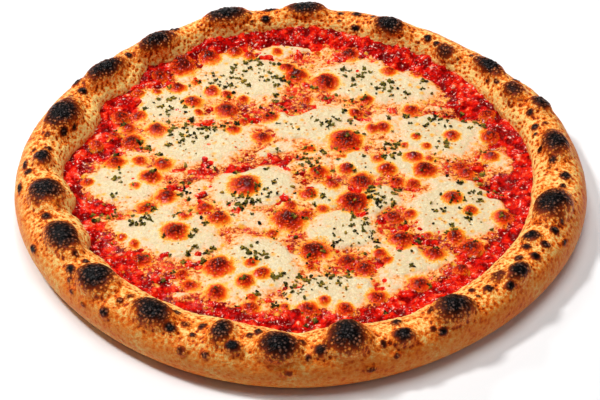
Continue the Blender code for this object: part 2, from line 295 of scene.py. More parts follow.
# The sauce reaches this far into the rim's wall. The hidden undersides of the sauce and the cheese
# lie these gaps above the base, and the cheese is nowhere thinner than the least sheet.
SAUCE_TUCK = 0.002
SHEET_GAP = 0.0003
CHEESE_GAP = 0.0004
LEAST_SHEET = 0.0001

# Lights: name, place, width, share of the key light's watts, and whether wet surfaces mirror it.
LIGHTS = (
    ("key_light", (-0.85, 0.25, 1.40), 0.25, 1.0, True),
    ("back_light", (-0.20, 1.20, 0.95), 0.20, 0.22, True),
    ("top_light", (0.05, 0.05, 1.90), 1.2, 1.05, False),
    ("right_light", (1.50, -0.15, 0.75), 0.9, 0.13, False),
)
SENSOR_WIDTH = 36.0
LENS = 105.3
CAMERA_TARGET = (0.0003, -0.0176, 0.008)
FLOOR_HALF_WIDTH = 4.0
FLOOR_GAP = 0.0004
# Which of the Mix node's inputs and outputs are its colours.
MIX_FIRST, MIX_SECOND, MIX_RESULT = 6, 7, 2


def smooth_step(value, start, end):
    """0 before start, 1 after end, and the curve 3t^2 - 2t^3 between them."""
    share = np.clip((value - start) / (end - start), 0.0, 1.0)
    return share * share * (3.0 - 2.0 * share)


def band(value, start, full, fading, end):
    """0 outside start and end, 1 from full to fading, eased between them."""
    return smooth_step(value, start, full) * (1 - smooth_step(value, fading, end))


def hashed(i, j, k, seed):
    """An even spread of numbers from -1 to 1 for whole numbers: multiply, shift and fold them."""
    mixed = (i * 73856093) ^ (j * 19349663) ^ (k * 83492791) ^ (seed * 2654435761)
    mixed = (mixed ^ (mixed >> 13)) * 1274126177
    mixed = (mixed ^ (mixed >> 16)) & 0xFFFFFF
    return mixed / 0x7FFFFF - 1.0


def noise(points, size, seed, octaves=1):
    """Value noise: random corner values of a lattice of that size, eased between the corners,
    with each further octave half as large and half as strong. About -1 to 1."""
    total, strength, whole = 0.0, 1.0, 0.0
    for octave in range(octaves):
        place = points / size * 2**octave
        cell = np.floor(place).astype(np.int64)
        inside = place - cell
        ease = inside**3 * (inside * (inside * 6 - 15) + 10)
        for corner in np.ndindex(2, 2, 2):
            weight = np.prod(np.where(np.array(corner) == 1, ease, 1 - ease), axis=-1)
            i, j, k = np.moveaxis(cell + corner, -1, 0)
            total = total + strength * weight * hashed(i, j, k, seed + octave)
        whole += strength
        strength /= 2
    return total / whole * 1.6


def pebbles(points, size, seed):
    """Round grains: 1 at each of a jittered lattice's points, falling to 0 half way to the next."""
    place = points / size
    cell = np.floor(place).astype(np.int64)
    nearest = np.full(points.shape[:-1], 9.0)
    for step in np.ndindex(3, 3, 3):
        corner = cell + np.array(step) - 1
        i, j, k = np.moveaxis(corner, -1, 0)
        jitter = np.stack([hashed(i, j, k, seed + axis) for axis in range(3)], axis=-1)
        away = corner + 0.5 + 0.42 * jitter - place
        nearest = np.minimum(nearest, np.sum(away * away, axis=-1))
    return 1.0 - np.clip(np.sqrt(nearest) / 0.75, 0.0, 1.0)


def waver(waves, clock):
    """Sum of cosine waves round the pizza."""
    return sum(swing * np.cos(np.radians(count * (clock - peak))) for count, swing, peak in waves)


def clock_of(x, y):
    return np.degrees(np.arctan2(x, y)) % 360


def inner_wall(clock):
    """Distance of the rim's inner wall from the middle, read off the listed places along rounded
    steps between them."""
    listed, reach = np.array(INNER_WALL_MM, float).T
    before = np.searchsorted(listed, clock % 360, side="right") - 1
    after = (before + 1) % len(listed)
    span = (listed[after] - listed[before]) % 360
    share = smooth_step(((clock - listed[before]) % 360) / span, 0.0, 1.0)
    return (reach[before] + share * (reach[after] - reach[before])) * MM


def sauce_climb(clock):
    """How far the sauce is heaped up against the wall: most at the top of the clock, with a
    squared cosine falling to an even low bank."""
    return BANK_HEIGHT + TOP_BANK_HEIGHT * np.maximum(np.cos(np.radians(clock)), 0) ** 2


# Meshes


def build_mesh(name, points, quads, triangles, fields, bake_uv):
    """A smooth-shaded mesh from arrays: points, faces, a number at each point for each field,
    and an unwrapping at each face corner."""
    corners = np.concatenate([quads.ravel(), triangles.ravel()]).astype(np.int32)
    sizes = np.concatenate([np.full(len(quads), 4), np.full(len(triangles), 3)])
    mesh = bpy.data.meshes.new(name)
    mesh.vertices.add(len(points))
    mesh.vertices.foreach_set("co", np.ascontiguousarray(points, np.float32).ravel())
    mesh.loops.add(len(corners))
    mesh.loops.foreach_set("vertex_index", corners)
    mesh.polygons.add(len(sizes))
    mesh.polygons.foreach_set("loop_start", (np.cumsum(sizes) - sizes).astype(np.int32))
    mesh.update(calc_edges=True)
    mesh.shade_smooth()
    for field, values in fields.items():
        attribute = mesh.attributes.new(field, "FLOAT", "POINT")
        attribute.data.foreach_set("value", np.ascontiguousarray(values, np.float32).ravel())
    if bake_uv is not None:
        layer = mesh.uv_layers.new(name="OFBake")
        layer.uv.foreach_set("vector", np.ascontiguousarray(bake_uv, np.float32).ravel())
    return mesh


def placed(name, mesh, finish, slot, *nodes):
    """Links the mesh as a piece on the pizza, with its finish, standing for those nodes."""
    mesh.materials.append(finish)
    piece = bpy.data.objects.new(name, mesh)
    bpy.context.scene.collection.objects.link(piece)
    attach(piece, "root")
    if nodes:
        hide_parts(*nodes)


def disc_grid(steps):
    """A square grid pressed into a disc of radius 1: x = u sqrt(1 - v^2 / 2),
    y = v sqrt(1 - u^2 / 2), for u and v from -1 to 1."""
    line = np.linspace(-1.0, 1.0, steps + 1)
    u, v = np.meshgrid(line, line)
    return u * np.sqrt(1 - v * v / 2), v * np.sqrt(1 - u * u / 2)


def disc_body(steps, disc_x, disc_y, top, bottom):
    """Points and faces of a closed round sheet: the grid as its top, a wall down from its border,
    and a fan round the middle of its flat underside. In its unwrapping the top takes all but a
    thin ring, the wall takes the ring, and the hidden underside a small patch in a corner."""
    side = steps + 1
    index = np.arange(side * side).reshape(side, side)
    quads = np.stack([index[:-1, :-1], index[:-1, 1:], index[1:, 1:], index[1:, :-1]], axis=-1)
    border = np.concatenate([index[0, :-1], index[:-1, -1], index[-1, :0:-1], index[:0:-1, 0]])
    grid = np.stack([disc_x, disc_y, top], axis=-1).reshape(-1, 3)
    foot = grid[border] * (1, 1, 0) + (0, 0, bottom)
    low = len(grid) + np.arange(len(border))
    walls = np.stack([border, low, np.roll(low, -1), np.roll(border, -1)], axis=-1)
    centre = len(grid) + len(border)
    fan = np.stack([np.full(len(border), centre), np.roll(low, -1), low], axis=-1)
    points = np.concatenate([grid, foot, [[0, 0, bottom]]])
    spread = points[:, :2] / np.abs(points[:, :2]).max()
    top_uv = 0.5 + 0.488 * spread
    wall_uv = 0.5 + 0.496 * spread
    fan_uv = 0.05 + 0.045 * spread
    quads = quads.reshape(-1, 4)
    uv = np.concatenate([
        top_uv[quads.ravel()],
        np.where((walls.ravel() >= len(grid))[:, None], wall_uv[walls.ravel()], top_uv[walls.ravel()]),
        fan_uv[fan.ravel()],
    ])
    return points, np.concatenate([quads, walls]), fan, uv


# The crust


def blister_field(clock, across, blisters, rise, ragged):
    """For each blister the distance d in its own half sizes gives a round cap,
    rise * (1 - (d / reach)^2)^0.8, and a burn that fades from its middle to just past its edge.
    Caps are a quarter taller at the bottom of the clock and a quarter lower at the top.
    Returns the highest cap, the darkest burn and the nearest d."""
    height, burn, nearest = np.zeros_like(across), np.zeros_like(across), np.full_like(across, 9.0)
    for middle, over, length, width, burnt in blisters:
        along = np.radians((clock - middle + 180) % 360 - 180) * RIM_MIDDLE
        d = np.hypot(along / (length * MM / 2), (across - over * MM) / (width * MM / 2))
        size = math.sqrt(length * width) / BLISTER_SIZE_MM
        lift = rise * size * (1 - 0.25 * math.cos(math.radians(middle)))
        height = np.maximum(height, lift * np.clip(1 - (d / BLISTER_REACH) ** 2, 0, 1) ** 0.8)
        burn = np.maximum(burn, burnt * (1 - smooth_step(d + ragged, 0.12, 1.24)))
        nearest = np.minimum(nearest, d)
    return height, burn, nearest


def crust_rows(spacing):
    """Distances over the rim from its inner wall at which the rows lie, from the foot under the
    sauce to the sole's edge."""
    end = ARC_PER_RADIAN * (math.pi - SOLE_ANGLE)
    start = BASE_TOP - RIM_MIDDLE_HEIGHT
    return np.linspace(start, end, int((end - start) / spacing) + 1)


def crust_section(clock, across):
    """Radius, height and outward direction on the plain rim: an inner wall that goes straight
    down below the rim's middle height, and round it an arc of an oval."""
    angle = math.pi - np.maximum(across, 0) / ARC_PER_RADIAN
    reach = np.where(angle < math.pi / 2, RIM_OVERHANG, RIM_MIDDLE - inner_wall(clock))
    radius = RIM_MIDDLE + reach * np.cos(angle)
    height = RIM_MIDDLE_HEIGHT + RIM_HALF_HEIGHT * np.sin(angle) + np.minimum(across, 0)
    return radius, np.maximum(height, 0.0), np.cos(angle), np.sin(angle)


def crust_surface(clock, across):
    """Points of the rim at clock angles and distances over it, and the five looks there. The
    section is moved by the waves, then pushed out by swellings round the big blisters, lumps,
    blisters and the crackle of burnt skin, and pushed in at pores. Toast is an even start with
    shares for the shoulder, the skirts of blisters and clouds, plus painted shade on the outer
    wall that grows towards the right, away from the key light. Further painted shade darkens the
    outer wall, least towards clock 310, on the key light's side, and most towards clock 130.
    Pits are pores, and crackle where it is burnt."""
    radius, height, out, up = crust_section(clock, across)
    upper = smooth_step(height, BASE_TOP, RIM_CREST)
    radius = radius + waver(EDGE_WAVES, clock) * smooth_step(across, *WAVERING_BAND)
    height = height + waver(CREST_WAVES, clock) * upper
    turn = np.radians(clock)
    plain = np.stack([radius * np.sin(turn), radius * np.cos(turn), height], axis=-1)
    ragged = 0.10 * noise(plain, *RAGGED_CLOUDS) + 0.06 * noise(plain, *RAGGED_SPECKS)
    dome, burnt, near_big = blister_field(clock, across, BIG_BLISTERS_MM, BIG_BLISTER_RISE, ragged)
    bead, spotted, near_small = blister_field(clock, across, SMALL_BLISTERS_MM, SMALL_BLISTER_RISE, ragged)
    char = np.maximum(burnt, spotted)
    skirt = 1 - smooth_step(np.minimum(near_big, near_small), 0.9, 2.0)
    mottled = band(across, *MOTTLED_BAND) + 0.25 * skirt + 0.35 * band(across, *LACE_BAND)
    outer = smooth_step(across, *OUTER_BAND)
    # Painted shade: the outer wall is darkened least towards clock 310, on the key light's side, and most
    # towards clock 130.
    tan = (0.75 - 0.42 * np.cos(np.radians(clock + 50))) * outer
    toast_and_side_shade = 0.31 + 0.11 * band(across, *SHOULDER_BAND) + 0.25 * skirt + 0.10 * noise(plain, *TOAST_CLOUDS)
    # Painted shade: the outer wall browns more towards clock 90, the side away from the key light.
    toast_and_side_shade = toast_and_side_shade + 0.045 * (1 + np.sin(turn)) * outer
    pores, crackle = pebbles(plain, *PORES), pebbles(plain, *CRACKLE)
    push = SWELL_HEIGHT * (1 - smooth_step(near_big, 0.6, 2.0)) * upper
    push = push + LUMP_HEIGHT * noise(plain, *LUMP_CLOUDS) * upper + np.maximum(dome, bead)
    push = push + DIMPLE_DEPTH * (0.4 - pores) * (1 - char) * (0.25 + 0.75 * mottled)
    push = push + CRACKLE_HEIGHT * (crackle - 0.35) * smooth_step(char, 0.1, 0.5)
    push = push * smooth_step(height, *RELIEF_START)
    pit = pores + (crackle - pores) * smooth_step(char, 0.15, 0.4)
    radius = radius + push * out
    height = height + push * up
    points = np.stack([radius * np.sin(turn), radius * np.cos(turn), height], axis=-1)
    return points, char, np.clip(toast_and_side_shade, 0, 1), pit, mottled, np.clip(tan, 0, 1)


def crust_mesh(spacing):
    """The whole dough as one closed skin: rows round the rim, then rings across the flat sole and
    across the base's top under the sauce, each ending in a fan at the middle."""
    across = crust_rows(spacing)
    columns = int(2 * math.pi * RIM_MIDDLE / spacing / 4) * 4
    clock = np.arange(columns) * 360 / columns
    rim, *looks = crust_surface(*np.broadcast_arrays(clock[None, :], across[:, None]))
    sole_shares = np.array([0.985, 0.8, 0.45])
    sole = rim[-1] * (sole_shares[:, None, None] * (1, 1, 0))
    rim_rows = len(across)
    points = np.concatenate([rim, sole]).reshape(-1, 3)
    hidden = len(points) + 2 - rim_rows * columns
    fields = {name: np.append(look, np.zeros(hidden)) for name, look in zip(CRUST_LOOKS, looks)}
    rows = rim_rows + len(sole_shares)
    row, column = np.meshgrid(np.arange(rows - 1), np.arange(columns), indexing="ij")
    row, column = row.ravel(), column.ravel()
    steps = ((0, 0), (1, 0), (1, 1), (0, 1))
    quads = np.stack([(row + a) * columns + (column + b) % columns for a, b in steps], axis=-1)
    ring = np.arange(columns)
    last = (rows - 1) * columns + ring
    middle = len(points)
    sole_fan = np.stack([np.full(columns, middle), np.roll(last, -1), last], axis=-1)
    base_fan = np.stack([np.full(columns, middle + 1), ring, np.roll(ring, -1)], axis=-1)
    points = np.concatenate([points, [[0, 0, 0], [0, 0, BASE_TOP]]])
    return points, quads, np.concatenate([sole_fan, base_fan]), fields, columns, rim_rows


def crust_unwrapping(points, quads, triangles, columns, rim_rows):
    """The rim in four long strips, one above the other, and below them the sole and the hidden
    top of the base as two discs side by side."""
    strips, strip_height, margin = 4, 0.155, 0.004
    reach = 1.02 * np.abs(points[:, :2]).max()
    row, column = np.divmod(quads, columns)
    column = np.where((column == 0) & (column.max(axis=1, keepdims=True) == columns - 1), columns, column)
    strip = np.minimum(column.min(axis=1, keepdims=True) // (columns // strips), strips - 1)
    u = (column - strip * (columns // strips)) / (columns // strips + 4)
    v = (strip + row / rim_rows * 0.97) * strip_height + margin
    strip_uv = np.stack([margin + u * (1 - 2 * margin), v], axis=-1)
    disc_radius = 0.178
    sole_uv = points[:, :2] / reach * disc_radius + (0.25, 0.81)
    base_uv = points[:, :2] / reach * disc_radius + (0.75, 0.81)
    on_sole = (row.min(axis=1) >= rim_rows - 1)[:, None, None]
    quad_uv = np.where(on_sole, sole_uv[quads], strip_uv)
    half = len(triangles) // 2
    fan_uv = np.concatenate([sole_uv[triangles[:half]], base_uv[triangles[half:]]])
    return np.concatenate([quad_uv.reshape(-1, 2), fan_uv.reshape(-1, 2)])


# Sauce and cheese


def streak_field(x, y):
    """How strongly sauce shows: each streak is 1 on its line and falls to 0 at its half width."""
    shown = np.zeros_like(x)
    for x0, y0, x1, y1, half, strength in STREAKS_MM:
        along = ((x / MM - x0) * (x1 - x0) + (y / MM - y0) * (y1 - y0)) / ((x1 - x0) ** 2 + (y1 - y0) ** 2)
        along = np.clip(along, 0, 1)
        away = np.hypot(x / MM - x0 - along * (x1 - x0), y / MM - y0 - along * (y1 - y0))
        shown = np.maximum(shown, strength * (1 - smooth_step(away / half, 0.35, 1.25)))
    return shown


def oval_distance(x, y, middle_x, middle_y, length, width, turn):
    """Distance from an oval's middle in its own half sizes: 1 on its outline."""
    c, s = math.cos(math.radians(turn)), math.sin(math.radians(turn))
    dx, dy = x / MM - middle_x, y / MM - middle_y
    return np.hypot((dx * c + dy * s) / length, (dy * c - dx * s) / width)


def warm_field(x, y):
    """How far the cheese has thinned to an orange film, from 0 to 1."""
    warm = np.zeros_like(x)
    for *oval, strength in WARM_MM:
        warm = np.maximum(warm, strength * (1 - smooth_step(oval_distance(x, y, *oval), 0.4, 1.3)))
    return warm


def pool_field(x, y):
    """How thick the pools are, from 0 to 1: each is an oval plateau with a soft edge."""
    thick = np.zeros_like(x)
    for oval in POOLS_MM:
        thick = np.maximum(thick, 1 - smooth_step(oval_distance(x, y, *oval), 0.66, 1.16))
    return thick


def bubble_field(x, y, wobble):
    """Domes of cheese: height in metres, distance to the nearest in its radii and browning, which
    fades from 1 in a large dome's middle, or less in a small one's, to 0 outside it."""
    height, nearest, brown = np.zeros_like(x), np.full_like(x, 9.0), np.zeros_like(x)
    for middle_x, middle_y, radius in BUBBLES_MM:
        d = np.hypot(x / MM - middle_x, y / MM - middle_y) / radius / BUBBLE_REACH + wobble
        height = np.maximum(height, BUBBLE_STEEPNESS * radius * MM * (1 - smooth_step(d, -0.1, 1.30)))
        nearest = np.minimum(nearest, d)
        brown = np.maximum(brown, min(0.46 + 0.085 * radius, 1.0) * (1 - smooth_step(d, 0.0, 1.75)))
    return height, nearest, brown


def topping_fields(x, y):
    """Sauce height, cheese height, cheese richness (0 sauce, 1 thick cheese), browning and how
    far a grain of pulp stands up, at places on the pizza. Inside its drifting edge the cheese is
    as rich as its pools or its cloudy film, whichever is more, both thinned by streaks and warm
    patches. Thin cheese dives below the sauce. The sauce is a level with a ring and a bank at the
    wall, and with grains and lumps; the cheese follows it with ripples, domes and browned grains."""
    flat = np.stack([x, y, np.zeros_like(x)], axis=-1)
    clock, radius = clock_of(x, y), np.hypot(x, y)
    moved_x, moved_y = x + DRIFT * noise(flat, *DRIFT_X_CLOUDS), y + DRIFT * noise(flat, *DRIFT_Y_CLOUDS)
    edge_clock, edge_radius = np.array(CHEESE_EDGE_MM, float).T
    edge = (np.interp(clock, edge_clock, edge_radius, period=360) + 2) * MM
    inside = smooth_step(edge - radius + DRIFT * noise(flat, *EDGE_CLOUDS), -0.006, 0.009)
    film = np.clip(0.50 + 0.32 * noise(flat, *FILM_CLOUDS), 0.16, 0.90)
    streaks = streak_field(moved_x, moved_y)
    warm = warm_field(moved_x, moved_y)
    pools = pool_field(moved_x, moved_y) * (1 - 0.85 * streaks) * (1 - 0.75 * warm)
    rich = inside * np.maximum(pools, film * (1 - streaks) * (1 - 0.7 * warm))
    rich = np.maximum(rich, FILM_RICHNESS * smooth_step(inside, 0.4, 1.0))
    dome, near, brown = bubble_field(x, y, 0.14 * noise(flat, *WOBBLE_CLOUDS))
    rich = np.maximum(rich, BUBBLE_RICHNESS * (1 - smooth_step(near, 0.7, 1.4)))
    grains = 0.72 * pebbles(flat, *BIG_GRAINS) + 0.28 * pebbles(flat, *SMALL_GRAINS)
    pulp = PULP_HEIGHT * (grains - 0.4)
    wall = inner_wall(clock)
    ring = SAUCE_RING_HEIGHT * smooth_step(radius, wall - 0.024, wall - 0.011)
    bank = sauce_climb(clock) * smooth_step(radius, wall - 0.013, wall + 0.001)
    level = SAUCE_LEVEL + ring + bank
    sauce = level + pulp + SAUCE_LUMP_HEIGHT * noise(flat, *SAUCE_CLOUDS)
    skin = CHEESE_RIPPLE * noise(flat, *RIPPLE_CLOUDS) + 0.3 * pulp * (1 - smooth_step(rich, 0.2, 0.8))
    crackle = CHEESE_CRACKLE * (pebbles(flat, *BROWNED_GRAINS) - 0.4) * smooth_step(brown, 0.35, 0.8)
    cheese = level + np.interp(rich, RICHNESS, CHEESE_RISE) + skin + dome + crackle
    return sauce, cheese, rich, brown, grains


# Finishes


class Finish:
    """A Principled material being made; each method adds one node and returns its output."""

    def __init__(self, name):
        self.material = bpy.data.materials.new(name)
        self.material.use_nodes = True
        self.tree = self.material.node_tree
        self.shader = self.tree.nodes["Principled BSDF"]
        self.place = self.node("ShaderNodeTexCoord").outputs["Object"]

    def node(self, kind, settings=None, **inputs):
        made = self.tree.nodes.new(kind)
        for key, value in (settings or {}).items():
            setattr(made, key, value)
        for key, value in inputs.items():
            self.put(made.inputs[key.replace("_", " ")], value)
        return made

    def put(self, socket, value):
        if isinstance(value, bpy.types.NodeSocket):
            self.tree.links.new(value, socket)
        elif hasattr(value, "__len__") and len(value) == 3 and socket.type == "RGBA":
            socket.default_value = (*value, 1.0)
        else:
            socket.default_value = value

    def attribute(self, name):
        return self.node("ShaderNodeAttribute", {"attribute_name": name}).outputs["Fac"]

    def noise(self, size, detail=2.0, rough=0.5, place=None):
        made = self.node("ShaderNodeTexNoise", Vector=place or self.place, Scale=1 / size, Detail=detail)
        made.inputs["Roughness"].default_value = rough
        return made.outputs["Fac"]

    def cells(self, size, stir, amount):
        """Distance to the nearest of scattered points about size apart, its pattern warped."""
        place = self.warp(stir, amount)
        return self.node("ShaderNodeTexVoronoi", Vector=place, Scale=1 / size).outputs["Distance"]

    def math(self, operation, *values):
        made = self.node("ShaderNodeMath", {"operation": operation})
        for socket, value in zip(made.inputs, values):
            self.put(socket, value)
        return made.outputs["Value"]

    def add(self, first, *others):
        for other in others:
            first = self.math("ADD", first, other)
        return first

    def times(self, first, second):
        return self.math("MULTIPLY", first, second)

    def line(self, value, slope, start):
        """slope times the value, plus start."""
        return self.math("MULTIPLY_ADD", value, slope, start)

    def remap(self, value, low, high, new_low=0.0, new_high=1.0):
        made = self.node("ShaderNodeMapRange", {"interpolation_type": "SMOOTHSTEP"}, Value=value)
        ends = {"From Min": low, "From Max": high, "To Min": new_low, "To Max": new_high}
        for name, number in ends.items():
            made.inputs[name].default_value = number
        return made.outputs["Result"]

    def mix(self, share, first, second, blend="MIX"):
        made = self.node("ShaderNodeMix", {"data_type": "RGBA", "blend_type": blend})
        self.put(made.inputs["Factor"], share)
        self.put(made.inputs[MIX_FIRST], first)
        self.put(made.inputs[MIX_SECOND], second)
        return made.outputs[MIX_RESULT]

    def ramp(self, value, *stops):
        made = self.node("ShaderNodeValToRGB", Fac=value)
        elements = made.color_ramp.elements
        while len(elements) < len(stops):
            elements.new(0.5)
        for element, (position, colour) in zip(elements, stops):
            element.position = position
            element.color = (*colour, 1.0)
        return made.outputs["Color"]

    def bump(self, height, distance, strength=1.0):
        made = self.node("ShaderNodeBump", Height=height, Distance=distance, Strength=strength)
        return made.outputs["Normal"]

    def warp(self, size, amount):
        """Coordinates pushed about by noise, so that a cell pattern isn't regular."""
        stir = self.node("ShaderNodeTexNoise", Vector=self.place, Scale=1 / size).outputs["Color"]
        centred = self.node("ShaderNodeVectorMath", {"operation": "SUBTRACT"})
        self.put(centred.inputs[0], stir)
        centred.inputs[1].default_value = (0.5, 0.5, 0.5)
        scaled = self.node("ShaderNodeVectorMath", {"operation": "SCALE"}, Scale=amount)
        self.put(scaled.inputs[0], centred.outputs[0])
        moved = self.node("ShaderNodeVectorMath", {"operation": "ADD"})
        self.put(moved.inputs[0], self.place)
        self.put(moved.inputs[1], scaled.outputs[0])
        return moved.outputs[0]

    def finished(self, **inputs):
        for key, value in inputs.items():
            self.put(self.shader.inputs[key.replace("_", " ")], value)
        return self.material


def crust_finish(colours):
    """Gold and pale dough with pale ridges and red-brown pores, both partly painted highlight and
    shade, darkened on the outer wall by painted shade, and blisters burnt from orange and mahogany
    to black with paler pebbles whose tops carry painted highlights."""
    f = Finish("baked_crust")
    char, toast_and_side_shade, pit = f.attribute("char"), f.attribute("toast_and_side_shade"), f.attribute("pit")
    coarse, fine, dust = f.noise(0.009, 3.0), f.noise(0.0016, 2.0, 0.6), f.noise(0.0009, 1.0)
    knobs = f.remap(f.cells(0.0021, 0.003, 0.0010), 0.52, 0.20)
    lively = f.line(f.attribute("mottled"), 0.83, 0.42)
    grain = f.add(f.line(fine, 1.05, -0.53), f.line(dust, 0.75, -0.37))
    # Pit centres, which sit in the mesh's dimples, darken and the ridges between them pale towards the
    # ramp's palest colour: partly the skin's own freckles, partly painted shade and highlight.
    shade = f.add(
        toast_and_side_shade, f.line(coarse, 0.44, -0.22), f.times(grain, lively),
        f.line(f.remap(pit, 0.45, 0.85), 0.08, -0.03),
        f.times(f.remap(pit, 0.15, 0.75, -0.26, 0.23), lively),
    )
    dough = f.ramp(
        shade, (0.04, colours.lace_and_highlight), (0.20, colours.pale), (0.38, colours.gold), (0.58, colours.orange),
        (0.84, (0.46, 0.048, 0.003)), (1.0, (0.17, 0.012, 0.002)),
    )
    # Painted shade: the outer wall is multiplied darker, least on the key light's side.
    dough = f.mix(f.attribute("tan"), dough, (0.72, 0.62, 0.56), "MULTIPLY")
    burnt = f.add(char, f.line(fine, 0.44, -0.22))
    gaps = f.ramp(
        burnt, (0.10, (0.52, 0.075, 0.004)), (0.32, (0.20, 0.022, 0.003)), (0.56, (0.045, 0.008, 0.003)),
        (0.82, colours.char),
    )
    # Painted highlight: the pebbles' tops are paler and greyer than the gaps, for the glints on them, as
    # well as less burnt.
    tops = f.ramp(
        burnt, (0.10, (1.0, 0.36, 0.030)), (0.32, (0.76, 0.20, 0.034)), (0.54, (0.44, 0.13, 0.050)),
        (0.76, (0.18, 0.074, 0.048)), (1.0, (0.064, 0.052, 0.052)),
    )
    body = f.mix(f.remap(burnt, 0.02, 0.24), dough, f.mix(knobs, gaps, tops))
    relief = f.add(
        f.times(fine, 0.50), f.times(dust, 0.30), f.times(knobs, f.remap(char, 0.05, 0.4)),
    )
    return f.finished(
        Base_Color=body, Roughness=f.remap(char, 0.2, 0.8, 0.42, 0.30), Normal=f.bump(relief, 0.0013),
        Specular_IOR_Level=0.10,
    )


def pulp(f, colours):
    """Wet tomato's colour and relief: saturated red over random tone, dark red partly painted shade
    in its hollows, orange and pink painted highlight on its grains, with small pale painted
    highlights in patches."""
    lumps, strands, fine = f.noise(0.007, 3.0), f.noise(0.0026, 2.0, 0.6), f.noise(0.0010, 1.0)
    beads = f.remap(f.cells(0.0024, 0.003, 0.0015), 0.55, 0.08)
    # The grains' height lightens their tops and darkens the hollows between them, painted highlight and
    # shade laid over the lumps' random tone; the beads add a little painted highlight.
    shade = f.add(
        f.times(lumps, 1.8), strands, f.line(f.attribute("pulp"), 1.0, -1.42), f.line(beads, 0.10, 0.04),
    )
    body = f.ramp(
        shade, (0.06, colours.deep), (0.36, colours.bright), (0.62, (0.90, 0.016, 0.003)),
        (0.82, (0.95, 0.090, 0.020)), (1.0, (1.0, 0.42, 0.25)),
    )
    # Painted highlights: pale pink wet glints in patches, mixed into the colour.
    points = f.remap(f.noise(0.0015, 2.0, 0.6, f.warp(0.004, 0.003)), 0.60, 0.66)
    points = f.times(points, f.remap(f.noise(0.006), 0.44, 0.56, 0.0, 0.95))
    body = f.mix(points, body, (1.0, 0.64, 0.52))
    return body, f.add(f.times(fine, 0.12), f.times(beads, 0.6), strands)


def sauce_finish(colours):
    """Wet tomato pulp all over."""
    f = Finish("tomato_sauce")
    body, relief = pulp(f, colours)
    normal = f.bump(relief, 0.0014)
    return f.finished(Base_Color=body, Roughness=0.14, Normal=normal, Specular_IOR_Level=0.09)


def cheese_finish(colours, sauce_colours):
    """Melted mozzarella: cream where it is thick, pink, orange and then sauce, with its painted light
    and shade, where it is thin, with red-brown gritty domes in yellow-orange rings whose palest
    edge is partly painted highlight, orange freckles and tiny dark specks."""
    f = Finish("melted_mozzarella")
    rich, brown = f.attribute("rich"), f.attribute("brown")
    blotch, mottle, fine = f.noise(0.009, 3.0), f.noise(0.0022, 2.0, 0.6), f.noise(0.0010, 1.0)
    cover = f.add(
        f.line(rich, 0.88, f.line(mottle, 1.05, -0.52)), f.line(fine, 0.42, -0.21),
        f.line(blotch, 0.3, -0.15),
    )
    film = f.ramp(
        cover, (0.12, (0.82, 0.045, 0.004)), (0.26, (0.90, 0.17, 0.012)), (0.40, (0.93, 0.36, 0.08)),
        (0.53, (0.92, 0.52, 0.25)), (0.66, (0.88, 0.62, 0.40)), (0.80, colours.cream), (1.0, colours.milk),
    )
    wet, wet_relief = pulp(f, sauce_colours)
    body = f.mix(f.remap(cover, 0.12, 0.32), wet, film)
    dots = f.remap(f.cells(0.0065, 0.006, 0.002), 0.36, 0.06)
    body = f.mix(f.times(dots, f.remap(f.noise(0.012), 0.35, 0.50)), body, (0.93, 0.40, 0.02))
    tiny = f.cells(0.0036, 0.003, 0.001)
    here = f.remap(f.noise(0.007), 0.38, 0.50)
    body = f.mix(f.times(f.remap(tiny, 0.30, 0.12), here), body, (0.80, 0.26, 0.012))
    body = f.mix(f.times(f.remap(tiny, 0.14, 0.08), here), body, (0.09, 0.035, 0.005))
    grit = f.remap(f.cells(0.0019, 0.002, 0.0008), 0.60, 0.08)
    bake = f.add(
        brown, f.line(fine, 0.36, -0.18), f.line(mottle, 0.36, -0.18),
        f.times(f.line(grit, -0.44, 0.20), f.remap(brown, 0.15, 0.6)),
    )
    # The ramp's palest stop, a cream-yellow ring round each dome, is partly painted highlight for the glint
    # on the dome's edge.
    baked = f.ramp(
        bake, (0.02, (1.0, 0.76, 0.34)), (0.13, (1.0, 0.52, 0.050)), (0.29, (0.98, 0.24, 0.010)),
        (0.54, (0.88, 0.060, 0.003)), (0.78, (0.62, 0.018, 0.002)), (1.0, (0.12, 0.005, 0.002)),
    )
    edge = f.math("SUBTRACT", bake, f.remap(cover, 0.10, 0.45, 0.30, 0.0))
    body = f.mix(f.remap(edge, 0.0, 0.20), body, baked)
    relief = f.add(
        f.times(mottle, 0.8), f.times(fine, 0.15), f.times(grit, f.remap(brown, 0.2, 0.7, 0.15, 0.9)),
        f.times(wet_relief, f.remap(cover, 0.4, 0.1)),
    )
    return f.finished(
        Base_Color=body, Roughness=f.remap(brown, 0.1, 0.6, 0.24, 0.18), Normal=f.bump(relief, 0.0010),
        Specular_IOR_Level=0.35,
    )


def herb_finish(colours):
    """Dried oregano: dark olive crumbs, some nearly black and some with brown, papery edges."""
    f = Finish("dried_oregano")
    shade = f.add(f.attribute("tone"), f.line(f.noise(0.0008), 0.6, -0.3))
    body = f.ramp(
        shade, (0.20, (0.010, 0.010, 0.003)), (0.45, colours.leaf), (0.72, (0.20, 0.165, 0.018)),
        (1.0, (0.48, 0.28, 0.030)),
    )
    relief = f.bump(f.noise(0.0004), 0.0003, 0.7)
    return f.finished(Base_Color=body, Roughness=0.6, Normal=relief, Specular_IOR_Level=0.1)


# Herbs


